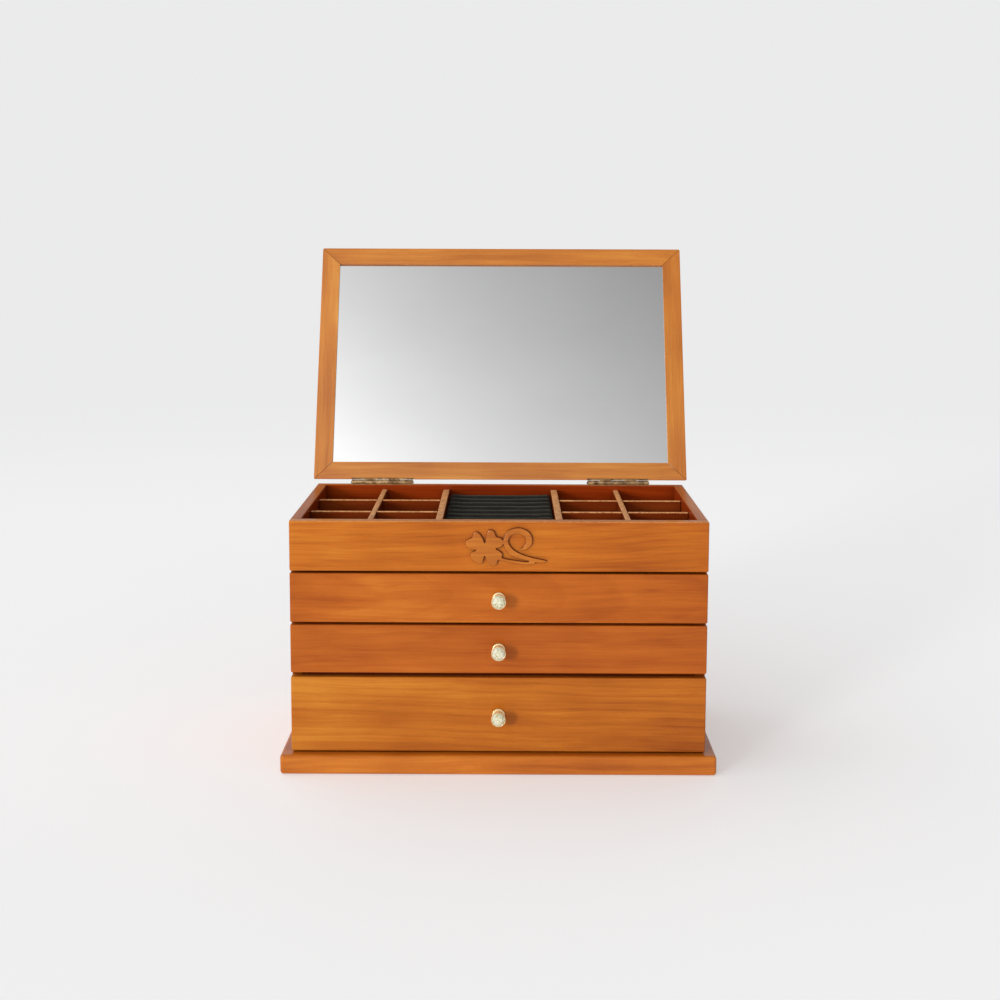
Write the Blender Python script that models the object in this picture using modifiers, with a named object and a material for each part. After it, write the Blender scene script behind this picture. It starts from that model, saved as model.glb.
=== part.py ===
"""A wooden jewellery box: three drawers, a divided top tray and a mirrored lid on two hinges.

Metres, +Z up, front towards -Y. The origin is the middle of the plinth's underside. The lid
is built closed, under an empty on the hinge axis, and that empty is then turned to open it.
"""

import math

import bmesh
import bpy
from mathutils import Matrix, Vector

MM = 0.001
GAP = 0.3 * MM  # left between pieces that touch

# Body
BODY_WIDTH = 290 * MM
BODY_DEPTH = 195 * MM
BODY_TOP = 178.3 * MM
FRONT_THICK = 9.4 * MM  # top front panel and drawer fronts
SIDE_THICK = 7.5 * MM
BACK_THICK = 7.5 * MM
BOARD_EASE = 0.8 * MM
PLINTH_OVERHANG = 7.5 * MM
PLINTH_HEIGHT = 13.9 * MM
PLINTH_EASE = 2.2 * MM

# Drawers: name, bottom and top of the front
DRAWERS = (
    ("top_drawer", 106.9 * MM, 141.5 * MM),
    ("middle_drawer", 71.1 * MM, 105.1 * MM),
    ("bottom_drawer", 14.9 * MM, 68.0 * MM),
)
PANEL_BOTTOM = 143.1 * MM  # of the fixed front panel
SHELF_THICK = 3.0 * MM
SHELF_SLIT = 0.5 * MM  # between a drawer front and the carcass behind it
DRAWER_CLEAR = 0.7 * MM  # between a drawer box and what it slides on or beside
DRAWER_HEADROOM = 4.0 * MM
DRAWER_BOARD = 5.0 * MM
DRAWER_LENGTH = 168 * MM  # of the box behind the front
DRAWER_FLOOR = 2.4 * MM
GROOVE_DEPTH = 2.0 * MM
GROOVE_HEIGHT = 3.0 * MM  # of the floor's groove above the drawer's lower edge

# Knobs: distances are out from the drawer front
KNOB_FLANGE_R = 4.5 * MM
KNOB_STEM_R = 3.2 * MM
KNOB_CUP_R = 4.95 * MM
KNOB_CUP_OUT = 14.6 * MM
KNOB_CUP_FLOOR = 12.2 * MM
KNOB_STUD_R = 1.5 * MM
KNOB_STUD_LENGTH = 7.0 * MM
CRYSTAL_R = 4.4 * MM
CRYSTAL_OUT = 16.2 * MM

# Top tray
TRAY_FLOOR_THICK = 3.0 * MM
LINING_THICK = 0.8 * MM
DIVIDER_TOP = 174.8 * MM
RING_DIVIDER_X = 42.5 * MM
RING_DIVIDER_THICK = 5.0 * MM
COLUMN_DIVIDER_THICK = 4.0 * MM
CROSS_DIVIDER_THICK = 3.0 * MM
LAP_CLEAR = 0.3 * MM
CUSHION_TOP = 172.4 * MM
CUSHION_CLEAR = 0.6 * MM

# Lid, with the box closed
LID_WIDTH = 298.5 * MM
LID_LENGTH = 205.3 * MM
LID_CLEAR = 0.5 * MM  # between the rim and the lid's underside
LID_THICK = 14.0 * MM
LID_BEVEL = 6.5 * MM  # how far the edges run in from underside to top
LID_FRAME_THICK = 5.2 * MM
LID_FRAME_WIDTH = 15.0 * MM
LID_EASE = 1.0 * MM
MIRROR_LIP = 1.6 * MM
MIRROR_LAP = 3.5 * MM  # of the mirror behind the frame's lip
MIRROR_THICK = 3.0 * MM
LID_OPEN = math.radians(117)

# Hinges
HINGE_X = 94 * MM
HINGE_LENGTH = 49 * MM
HINGE_BEHIND = 2.7 * MM  # axis behind the body's rear face
HINGE_ABOVE = 0.7 * MM  # axis above the rim
LID_REAR_TO_AXIS = 2.15 * MM
KNUCKLES = 5
KNUCKLE_R = 1.95 * MM
KNUCKLE_CLEAR = 0.4 * MM
BORE_R = 1.1 * MM
PIN_R = 0.8 * MM
PIN_PROUD = 0.5 * MM
LEAF_THICK = 1.0 * MM
BOX_LEAF_REACH = 6.6 * MM  # over the rim
TAB_THICK = 1.0 * MM  # of what joins a knuckle to its leaf
LID_LEAF_REACH = 5.2 * MM  # along the lid's bevelled rear edge
LID_LEAF_START = 0.1 * MM  # from that edge's lower corner
SCREW_SPREAD = 15.5 * MM  # from the hinge's middle
SCREW_HEAD_R = 1.5 * MM
SCREW_HEAD_THICK = 0.8 * MM
SCREW_SHANK_R = 0.7 * MM
SCREW_LENGTH = 3.6 * MM
SCREW_SLOT = 0.4 * MM

# Carving on the front panel
CARVING_THICK = 1.8 * MM
CLOVER_CENTRE = (-9.8 * MM, 159.5 * MM)
SCROLL_CENTRE = (14.3 * MM, 165.1 * MM)
CURVE_STEPS = 5

FRONT_Y = -BODY_DEPTH / 2
REAR_Y = BODY_DEPTH / 2
CARCASS_FRONT_Y = FRONT_Y + FRONT_THICK + SHELF_SLIT
INNER_X = BODY_WIDTH / 2 - SIDE_THICK
INNER_REAR_Y = REAR_Y - BACK_THICK
PLINTH_TOP = PLINTH_HEIGHT + GAP
TRAY_FLOOR_Z = PANEL_BOTTOM + GAP
TRAY_LINING_Z = TRAY_FLOOR_Z + TRAY_FLOOR_THICK + GAP
DIVIDER_Z = TRAY_LINING_Z + LINING_THICK + GAP
LID_Z = BODY_TOP + LID_CLEAR
HINGE_Y = REAR_Y + HINGE_BEHIND
HINGE_Z = BODY_TOP + HINGE_ABOVE
LID_REAR_Y = HINGE_Y - LID_REAR_TO_AXIS
LID_CENTRE_Y = LID_REAR_Y - LID_LENGTH / 2
ROW_LENGTH = (INNER_REAR_Y - CARCASS_FRONT_Y) / 3
COLUMN_X = (INNER_X + RING_DIVIDER_X + RING_DIVIDER_THICK / 2) / 2

# The clover's outline from CLOVER_CENTRE, in mm: x, z
CLOVER_OUTLINE = (
    (0.3, 3.9), (-1.5, 7.8), (-3.7, 10.9), (-5.9, 12.0), (-7.6, 10.4), (-8.3, 8.0), (-10.4, 7.0),
    (-12.6, 5.2), (-13.0, 2.6), (-11.1, 0.2), (-8.0, -0.6), (-5.4, -0.9), (-8.7, -2.6),
    (-9.8, -4.8), (-8.9, -7.4), (-6.7, -9.1), (-4.1, -10.7), (-1.7, -10.2), (-0.8, -7.4),
    (0.0, -4.8), (1.1, -7.4), (2.8, -10.4), (5.9, -11.7), (8.3, -10.9), (9.4, -7.6), (11.7, -6.1),
    (12.2, -3.5), (10.2, -1.3), (7.6, 0.0), (10.2, 0.9), (12.2, 2.4), (13.0, 4.8), (12.2, 6.7),
    (10.2, 8.0), (8.0, 8.7), (6.7, 12.0), (4.6, 13.3), (2.4, 12.6), (1.1, 8.7),
)

# The scroll's and the stem's middle lines from SCROLL_CENTRE, in mm: x, z, width
SCROLL_LINE = (
    (0.4, -6.2, 0.9),
    (4.1, -4.7, 2.8),
    (6.6, -0.8, 4.4),
    (5.2, 4.4, 4.5),
    (-0.6, 7.0, 4.3),
    (-6.6, 5.4, 3.8),
    (-9.4, 0.8, 3.3),
    (-8.4, -4.2, 4.0),
    (-4.6, -8.4, 4.4),
    (0.9, -10.9, 3.5),
    (8.5, -13.0, 3.0),
    (14.9, -14.1, 2.4),
    (18.9, -14.2, 0.9),
)
STEM_LINE = (
    (-17.5, -11.0, 2.4),
    (-10.6, -13.4, 2.2),
    (-3.4, -14.6, 2.1),
    (4.3, -15.6, 2.1),
    (10.6, -15.2, 1.8),
)


def clear_scene():
    for obj in list(bpy.data.objects):
        bpy.data.objects.remove(obj)


def new_collection(name):
    collection = bpy.data.collections.new(name)
    bpy.context.scene.collection.children.link(collection)
    return collection


def new_material(name, color, roughness, metallic=0.0):
    material = bpy.data.materials.new(name)
    material.use_nodes = True
    shader = material.node_tree.nodes["Principled BSDF"]
    shader.inputs["Base Color"].default_value = (*color, 1)
    shader.inputs["Roughness"].default_value = roughness
    shader.inputs["Metallic"].default_value = metallic
    material.diffuse_color = (*color, 1)
    return material


clear_scene()
BOX = new_collection("jewelry_box")
CUTTERS = new_collection("cutters")
WOOD = new_material("stained_wood", (0.50, 0.19, 0.05), 0.35)
DARK = new_material("stained_interior", (0.26, 0.07, 0.025), 0.5)
VELVET = new_material("black_velvet", (0.02, 0.02, 0.022), 0.95)
MIRROR = new_material("mirror_glass", (0.85, 0.87, 0.88), 0.03, 1.0)
BRASS = new_material("antique_brass", (0.42, 0.30, 0.16), 0.4, 1.0)
GOLD = new_material("gold_plate", (0.83, 0.65, 0.33), 0.2, 1.0)
CRYSTAL = new_material("crystal", (0.92, 0.94, 0.90), 0.05)


def add_object(name, mesh, material=None, parent=None):
    """A piece of the box, or a cutter when it has no material."""
    obj = bpy.data.objects.new(name, mesh)
    if material:
        mesh.materials.append(material)
        BOX.objects.link(obj)
    else:
        obj.hide_render = True
        obj.display_type = "WIRE"
        CUTTERS.objects.link(obj)
    obj.parent = parent
    return obj


def origin(obj):
    """Where the object is with every parent unturned."""
    return obj.location + origin(obj.parent) if obj else Vector()


def at(obj, place):
    """Puts the object at a place given with every parent unturned."""
    obj.location = Vector(place) - origin(obj.parent)
    return obj


def empty(name, place, parent=None):
    obj = bpy.data.objects.new(name, None)
    obj.parent = parent
    BOX.objects.link(obj)
    return at(obj, place)


def ease(obj, width, segments=2):
    """Rounds the object's edges."""
    bevel = obj.modifiers.new("ease", "BEVEL")
    bevel.width = width
    bevel.segments = segments
    bevel.limit_method = "ANGLE"
    return obj


def block(name, low, high, material=None, parent=None, inset=0.0):
    """A box between two corners. Its top is smaller by the inset on each side."""
    low, high = Vector(low), Vector(high)
    work = bmesh.new()
    bmesh.ops.create_cube(work, size=1, matrix=Matrix.Diagonal((*(high - low), 1)))
    for vert in work.verts:
        if inset and vert.co.z > 0:
            vert.co.x -= math.copysign(inset, vert.co.x)
            vert.co.y -= math.copysign(inset, vert.co.y)
    mesh = bpy.data.meshes.new(name)
    work.to_mesh(mesh)
    work.free()
    return at(add_object(name, mesh, material, parent), (low + high) / 2)


def rod(name, middle, length, radius, direction, material=None, parent=None, sides=20):
    """A cylinder along the X, Y or Z direction."""
    turn = {"X": Matrix.Rotation(math.pi / 2, 4, "Y"), "Y": Matrix.Rotation(math.pi / 2, 4, "X")}
    work = bmesh.new()
    bmesh.ops.create_cone(work, cap_ends=True, segments=sides, radius1=radius, radius2=radius,
                          depth=length, matrix=turn.get(direction, Matrix()))
    mesh = bpy.data.meshes.new(name)
    work.to_mesh(mesh)
    work.free()
    smooth(mesh)
    return at(add_object(name, mesh, material, parent), middle)


def turned(name, profile, place, turn, material=None, parent=None, steps=20):
    """A profile of (radius, height) from top to bottom, turned about its own Z axis."""
    mesh = bpy.data.meshes.new(name)
    points = [(radius, 0, height) for radius, height in profile]
    mesh.from_pydata(points, [(i, i + 1) for i in range(len(points) - 1)], [])
    obj = add_object(name, mesh, material, parent)
    screw = obj.modifiers.new("turn", "SCREW")
    screw.steps = screw.render_steps = steps
    screw.use_merge_vertices = True
    screw.merge_threshold = 0.00005
    screw.use_smooth_shade = False
    obj.rotation_euler = turn
    return at(obj, place)


def outline_solid(name, outline, thickness, place, turn, material=None, parent=None):
    """A flat outline of (x, y) points, thickened both ways from its plane, as a closed mesh."""
    curve = bpy.data.curves.new(name, "CURVE")
    curve.dimensions = "2D"
    curve.fill_mode = "BOTH"
    curve.extrude = thickness / 2
    spline = curve.splines.new("POLY")
    spline.points.add(len(outline) - 1)
    spline.use_cyclic_u = True
    for point, (x, y) in zip(spline.points, outline):
        point.co = (x, y, 0, 1)
    flat = bpy.data.objects.new(name + "_outline", curve)
    BOX.objects.link(flat)
    graph = bpy.context.evaluated_depsgraph_get()
    mesh = bpy.data.meshes.new_from_object(flat.evaluated_get(graph))
    bpy.data.objects.remove(flat)
    work = bmesh.new()
    work.from_mesh(mesh)
    bmesh.ops.remove_doubles(work, verts=work.verts, dist=0.00001)
    bmesh.ops.recalc_face_normals(work, faces=work.faces)
    work.to_mesh(mesh)
    work.free()
    obj = add_object(name, mesh, material, parent)
    obj.rotation_euler = turn
    return at(obj, place)


def smooth(mesh):
    mesh.shade_smooth()
    mesh.set_sharp_from_angle(angle=math.radians(35))


def boolean(obj, tool, operation="DIFFERENCE"):
    modifier = obj.modifiers.new(tool.name, "BOOLEAN")
    modifier.operation = operation
    modifier.object = tool
    modifier.solver = "EXACT"
    return obj


def build_carcass():
    """The plinth, the four walls and the shelves between the drawers."""
    half_width = BODY_WIDTH / 2
    plinth_x = half_width + PLINTH_OVERHANG
    plinth_y = BODY_DEPTH / 2 + PLINTH_OVERHANG
    low, high = (-plinth_x, -plinth_y, 0), (plinth_x, plinth_y, PLINTH_HEIGHT)
    ease(block("base_plinth", low, high, WOOD), PLINTH_EASE, 3)

    for name, side in (("left_side", -1), ("right_side", 1)):
        edges = sorted((side * INNER_X, side * half_width))
        low = (edges[0], CARCASS_FRONT_Y, PLINTH_TOP)
        high = (edges[1], INNER_REAR_Y - GAP, BODY_TOP)
        ease(block(name, low, high, WOOD), BOARD_EASE)

    low = (-half_width, INNER_REAR_Y, PLINTH_TOP)
    back = ease(block("back_panel", low, (half_width, REAR_Y, BODY_TOP), WOOD), BOARD_EASE)

    low = (-half_width, FRONT_Y, PANEL_BOTTOM)
    high = (half_width, FRONT_Y + FRONT_THICK, BODY_TOP)
    ease(block("front_panel", low, high, WOOD), BOARD_EASE)

    slits = [(DRAWERS[i][1] + DRAWERS[i + 1][2]) / 2 for i in range(len(DRAWERS) - 1)]
    for name, middle in zip(("shelf_upper", "shelf_lower"), slits):
        inner_board(name, middle - SHELF_THICK / 2, SHELF_THICK, DARK)
    return back


def inner_board(name, bottom, thickness, material):
    """A level board that fills the carcass from wall to wall."""
    low = (-INNER_X + GAP, CARCASS_FRONT_Y, bottom)
    high = (INNER_X - GAP, INNER_REAR_Y - GAP, bottom + thickness)
    return block(name, low, high, material)


def build_tray():
    """The top tray: floor, lining, crossing dividers and the ring cushion."""
    inner_board("tray_floor", TRAY_FLOOR_Z, TRAY_FLOOR_THICK, DARK)
    inner_board("tray_lining", TRAY_LINING_Z, LINING_THICK, VELVET)

    front, rear = CARCASS_FRONT_Y + GAP, INNER_REAR_Y - GAP
    rows = (("front", CARCASS_FRONT_Y + ROW_LENGTH), ("rear", CARCASS_FRONT_Y + 2 * ROW_LENGTH))
    lap_z = (DIVIDER_Z + DIVIDER_TOP) / 2
    for name, side in (("left", -1), ("right", 1)):
        half = RING_DIVIDER_THICK / 2
        x = side * RING_DIVIDER_X
        ring = block("ring_divider_" + name, (x - half, front, DIVIDER_Z),
                     (x + half, rear, DIVIDER_TOP), DARK)
        ease(ring, 0.5 * MM, 1)

        half = COLUMN_DIVIDER_THICK / 2
        x = side * COLUMN_X
        column = block("column_divider_" + name, (x - half, front, DIVIDER_Z),
                       (x + half, rear, DIVIDER_TOP), DARK)
        ease(column, 0.5 * MM, 1)
        column_notch = half + LAP_CLEAR
        notch_top = DIVIDER_TOP + MM
        notch = block(f"notch_{name}", (x - column_notch, front, lap_z - LAP_CLEAR / 2),
                      (x + column_notch, rear, notch_top))
        outer = INNER_X - GAP
        inner = RING_DIVIDER_X + RING_DIVIDER_THICK / 2 + GAP
        for row, y in rows:
            half = CROSS_DIVIDER_THICK / 2
            low_x, high_x = sorted((side * inner, side * outer))
            cross = block(f"cross_divider_{name}_{row}", (low_x, y - half, DIVIDER_Z),
                          (high_x, y + half, DIVIDER_TOP), DARK)
            boolean(ease(cross, 0.4 * MM, 1), notch)
            cross_notch = half + LAP_CLEAR
            tool = block(f"notch_{name}_{row}", (x - 2 * half, y - cross_notch, DIVIDER_Z - MM),
                         (x + 2 * half, y + cross_notch, lap_z + LAP_CLEAR / 2))
            boolean(column, tool)

    x = RING_DIVIDER_X - RING_DIVIDER_THICK / 2 - CUSHION_CLEAR
    low = (-x, CARCASS_FRONT_Y + CUSHION_CLEAR, DIVIDER_Z)
    cushion = block("ring_cushion", low, (x, INNER_REAR_Y - CUSHION_CLEAR, CUSHION_TOP), VELVET)
    ease(cushion, 3 * MM, 2)


def smooth_line(points, closed=False):
    """Points of a Catmull-Rom curve through these ones."""
    points = [Vector(point) for point in points]
    if closed:
        knots = [points[-1], *points, points[0], points[1]]
    else:
        knots = [2 * points[0] - points[1], *points, 2 * points[-1] - points[-2]]
    line = []
    for before, start, end, after in zip(knots, knots[1:], knots[2:], knots[3:]):
        for step in range(CURVE_STEPS):
            t = step / CURVE_STEPS
            line.append(0.5 * (2 * start + t * (end - before)
                               + t**2 * (2 * before - 5 * start + 4 * end - after)
                               + t**3 * (3 * start - 3 * end + after - before)))
    return line if closed else [*line, points[-1]]


def ribbon_outline(points):
    """The outline of a ribbon whose middle line and widths are given."""
    line = smooth_line(points)
    left, right = [], []
    for i, point in enumerate(line):
        along = (line[min(i + 1, len(line) - 1)] - line[max(i - 1, 0)]).xy.normalized()
        across = Vector((-along.y, along.x)) * point.z / 2
        left.append(point.xy + across)
        right.append(point.xy - across)
    return left + right[::-1]


def build_carving():
    """A four-leaved clover with a curling stem, laid on the front panel as one piece."""
    shapes = (
        ("clover_carving", smooth_line(CLOVER_OUTLINE, closed=True), CLOVER_CENTRE, WOOD),
        ("scroll", ribbon_outline(SCROLL_LINE), SCROLL_CENTRE, None),
        ("stem", ribbon_outline(STEM_LINE), SCROLL_CENTRE, None),
    )
    solids = []
    for name, outline, (x, z), material in shapes:
        place = (x, FRONT_Y - GAP - CARVING_THICK / 2, z)
        outline = [tuple(MM * point) for point in outline]
        solids.append(outline_solid(name, outline, CARVING_THICK, place, (math.pi / 2, 0, 0), material))
    for tool in solids[1:]:
        boolean(solids[0], tool, "UNION")


def build_knob(name, place, parent):
    """A gold knob on a stud, with a crystal set in its cup."""
    profile = (
        (0, KNOB_CUP_FLOOR),
        (CRYSTAL_R, KNOB_CUP_FLOOR),
        (CRYSTAL_R + GAP, KNOB_CUP_OUT),
        (KNOB_CUP_R - 0.3 * MM, KNOB_CUP_OUT),
        (KNOB_CUP_R, KNOB_CUP_OUT - 0.4 * MM),
        (KNOB_CUP_R, KNOB_CUP_OUT - 2.4 * MM),
        (KNOB_STEM_R + 1.0 * MM, 9.4 * MM),
        (KNOB_STEM_R, 7.4 * MM),
        (KNOB_STEM_R, 3.4 * MM),
        (KNOB_STEM_R + 0.6 * MM, 2.2 * MM),
        (KNOB_FLANGE_R, 1.6 * MM),
        (KNOB_FLANGE_R, GAP),
        (KNOB_STUD_R, GAP),
        (KNOB_STUD_R, -KNOB_STUD_LENGTH),
        (0, -KNOB_STUD_LENGTH),
    )
    outward = (math.pi / 2, 0, 0)
    turned(name + "_knob", profile, place, outward, GOLD, parent)
    crystal = (
        (0, CRYSTAL_OUT),
        (0.55 * CRYSTAL_R, CRYSTAL_OUT),
        (CRYSTAL_R, CRYSTAL_OUT - 2.0 * MM),
        (CRYSTAL_R, CRYSTAL_OUT - 2.8 * MM),
        (0.6 * CRYSTAL_R, KNOB_CUP_FLOOR + GAP),
        (0, KNOB_CUP_FLOOR + GAP),
    )
    turned(name + "_crystal", crystal, place, outward, CRYSTAL, parent, steps=12)


def build_drawer(name, bottom, top, box_bottom, box_top):
    """One drawer: front, two sides, back, a floor in grooves, and a knob, under its own empty."""
    middle = (0, FRONT_Y, (bottom + top) / 2)
    slide = empty(name + "_slide", middle)
    half_width = BODY_WIDTH / 2
    rear_of_front = FRONT_Y + FRONT_THICK

    low = (-half_width, FRONT_Y, bottom)
    front = block(name + "_front", low, (half_width, rear_of_front, top), WOOD, slide)
    ease(front, BOARD_EASE)

    outer = INNER_X - DRAWER_CLEAR
    start = rear_of_front + GAP
    end = rear_of_front + DRAWER_LENGTH
    groove_z = box_bottom + GROOVE_HEIGHT
    floor_top = groove_z + DRAWER_FLOOR
    groove_x = outer - DRAWER_BOARD + GROOVE_DEPTH
    groove = block(name + "_groove", (-groove_x, rear_of_front - GROOVE_DEPTH, groove_z - GAP),
                   (groove_x, end + MM, floor_top + GAP), parent=slide)
    hole = rod(name + "_hole", (0, FRONT_Y, middle[2]), 2 * (KNOB_STUD_LENGTH + GAP),
               KNOB_STUD_R + GAP, "Y", parent=slide)
    boolean(boolean(front, groove), hole)
    for side_name, side in (("left", -1), ("right", 1)):
        edges = sorted((side * outer, side * (outer - DRAWER_BOARD)))
        low, high = (edges[0], start, box_bottom), (edges[1], end, box_top)
        board = block(f"{name}_{side_name}_side", low, high, DARK, slide)
        boolean(board, groove)

    inner = outer - DRAWER_BOARD - GAP
    low = (-inner, end - DRAWER_BOARD, floor_top + GAP)
    block(name + "_back", low, (inner, end, box_top), DARK, slide)
    floor_x = groove_x - GAP
    block(name + "_floor", (-floor_x, rear_of_front - GROOVE_DEPTH + GAP, groove_z),
          (floor_x, end, floor_top), DARK, slide)
    build_knob(name, middle, slide)


def build_drawers():
    """The drawer boxes fit between the boards above and below them."""
    tops = [TRAY_FLOOR_Z]
    bottoms = []
    for above, below in zip(DRAWERS, DRAWERS[1:]):
        slit = (above[1] + below[2]) / 2
        bottoms.append(slit + SHELF_THICK / 2)
        tops.append(slit - SHELF_THICK / 2)
    bottoms.append(PLINTH_TOP)
    for (name, bottom, top), under, over in zip(DRAWERS, bottoms, tops):
        build_drawer(name, bottom, top, under + DRAWER_CLEAR, over - DRAWER_HEADROOM)


def lid_opening(name, shrink, bottom, top, lid):
    """A box that reaches to the frame's inner edge, less the shrink, on all four sides."""
    x = LID_WIDTH / 2 - LID_FRAME_WIDTH - shrink
    y = LID_LENGTH / 2 - LID_FRAME_WIDTH - shrink
    return block(name, (-x, LID_CENTRE_Y - y, bottom), (x, LID_CENTRE_Y + y, top), parent=lid)


def build_lid(lid):
    """The mitred frame, the mirror in its rabbet, and the panel over both. Returns the rear rail."""
    half_x, half_y = LID_WIDTH / 2, LID_LENGTH / 2
    frame_top = LID_Z + LID_FRAME_THICK
    slope = LID_BEVEL / LID_THICK
    inset = slope * LID_FRAME_THICK
    opening = lid_opening("lid_opening", 0, LID_Z - MM, frame_top + MM, lid)
    rabbet = lid_opening("lid_rabbet", -MIRROR_LAP - GAP, LID_Z + MIRROR_LIP, frame_top + MM, lid)
    corners_of = {
        "lid_rear_rail": [(half_x, half_y), (-half_x, half_y)],
        "lid_front_rail": [(-half_x, -half_y), (half_x, -half_y)],
        "lid_right_stile": [(half_x, -half_y), (half_x, half_y)],
        "lid_left_stile": [(-half_x, half_y), (-half_x, -half_y)],
    }
    members = {}
    for name, corners in corners_of.items():
        low = (-half_x, LID_CENTRE_Y - half_y, LID_Z)
        high = (half_x, LID_CENTRE_Y + half_y, frame_top)
        member = ease(block(name, low, high, WOOD, lid, inset), LID_EASE)
        for tool in (opening, rabbet):
            boolean(member, tool)
        boolean(member, mitre_prism(name + "_mitre", corners, lid), "INTERSECT")
        members[name] = member

    lap = MIRROR_LAP
    x, y = half_x - LID_FRAME_WIDTH + lap, half_y - LID_FRAME_WIDTH + lap
    glass = LID_Z + MIRROR_LIP + GAP
    block("mirror", (-x, LID_CENTRE_Y - y, glass), (x, LID_CENTRE_Y + y, glass + MIRROR_THICK), MIRROR, lid)

    panel_z = frame_top + GAP
    start = slope * (panel_z - LID_Z)
    low = (-half_x + start, LID_CENTRE_Y - half_y + start, panel_z)
    high = (half_x - start, LID_CENTRE_Y + half_y - start, LID_Z + LID_THICK)
    ease(block("lid_panel", low, high, WOOD, lid, LID_BEVEL - start), LID_EASE)
    return members["lid_rear_rail"]


def mitre_prism(name, corners, lid):
    """A prism under one frame member, cut off at 45 degrees at each corner, a hair inside the mitres."""
    (ax, ay), (bx, by) = corners
    along = Vector((bx - ax, by - ay)).normalized()
    inward = Vector((-ax - bx, -ay - by)).normalized()
    start, end = Vector((ax, ay)), Vector((bx, by))
    depth = 2 * LID_FRAME_WIDTH
    slack = along * GAP / math.sqrt(2)
    out = 5 * MM
    outline = [
        start - (along + inward) * out + slack,
        start + (along + inward) * depth + slack,
        end + (inward - along) * depth - slack,
        end - (inward - along) * out - slack,
    ]
    return outline_solid(name, [tuple(p) for p in outline], 3 * LID_THICK,
                         (0, LID_CENTRE_Y, LID_Z), (0, 0, 0), parent=lid)


def build_leaf(name, x, plate, tab, knuckles, parent):
    """A hinge leaf with its share of the knuckles.

    plate and tab are the lowest and highest (y, z) of the plate and of what joins it to a knuckle.
    """
    half = HINGE_LENGTH / 2
    (low_y, low_z), (high_y, high_z) = plate
    leaf = block(name, (x - half, low_y, low_z), (x + half, high_y, high_z), BRASS, parent)
    pitch = HINGE_LENGTH / KNUCKLES
    reach = (pitch - GAP) / 2
    (low_y, low_z), (high_y, high_z) = tab
    for index in knuckles:
        middle = x - half + (index + 0.5) * pitch
        joint = block(f"{name}_tab_{index}", (middle - reach, low_y, low_z),
                      (middle + reach, high_y, high_z), parent=parent)
        barrel = rod(f"{name}_knuckle_{index}", (middle, HINGE_Y, HINGE_Z), 2 * reach, KNUCKLE_R,
                     "X", parent=parent)
        boolean(leaf, joint, "UNION")
        boolean(leaf, barrel, "UNION")
    bore = rod(name + "_bore", (x, HINGE_Y, HINGE_Z), HINGE_LENGTH + 4 * MM, BORE_R, "X",
               parent=parent, sides=16)
    return boolean(leaf, bore)


def build_screws(name, x, y, face_z, outward, leaf, wood, parent):
    """Two countersunk screws through a leaf into the wood. outward is +1 where they drive down."""
    turn = (0, 0, 0) if outward > 0 else (math.pi, 0, 0)
    head = (
        (0, -0.1 * MM),
        (SCREW_HEAD_R, -0.1 * MM),
        (SCREW_SHANK_R, -SCREW_HEAD_THICK),
        (SCREW_SHANK_R, -SCREW_LENGTH + 1.2 * MM),
        (0, -SCREW_LENGTH),
    )
    sink = (
        (0, MM),
        (SCREW_HEAD_R + GAP, MM),
        (SCREW_HEAD_R + GAP, -0.1 * MM),
        (SCREW_SHANK_R + GAP, -SCREW_HEAD_THICK),
        (SCREW_SHANK_R + GAP, -SCREW_LENGTH - GAP),
        (0, -SCREW_LENGTH - GAP),
    )
    for number, side in ((1, -1), (2, 1)):
        place = (x + side * SCREW_SPREAD, y, face_z)
        screw = turned(f"{name}_screw_{number}", head, place, turn, BRASS, parent, steps=16)
        tool = turned(f"{name}_sink_{number}", sink, place, turn, parent=parent, steps=16)
        boolean(leaf, tool)
        boolean(wood, tool)
        slot = Vector((SCREW_HEAD_R, SCREW_SLOT / 2, SCREW_SLOT))
        cut = block(f"{name}_slot_{number}", Vector(place) - slot, Vector(place) + slot, parent=parent)
        boolean(screw, cut)


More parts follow.
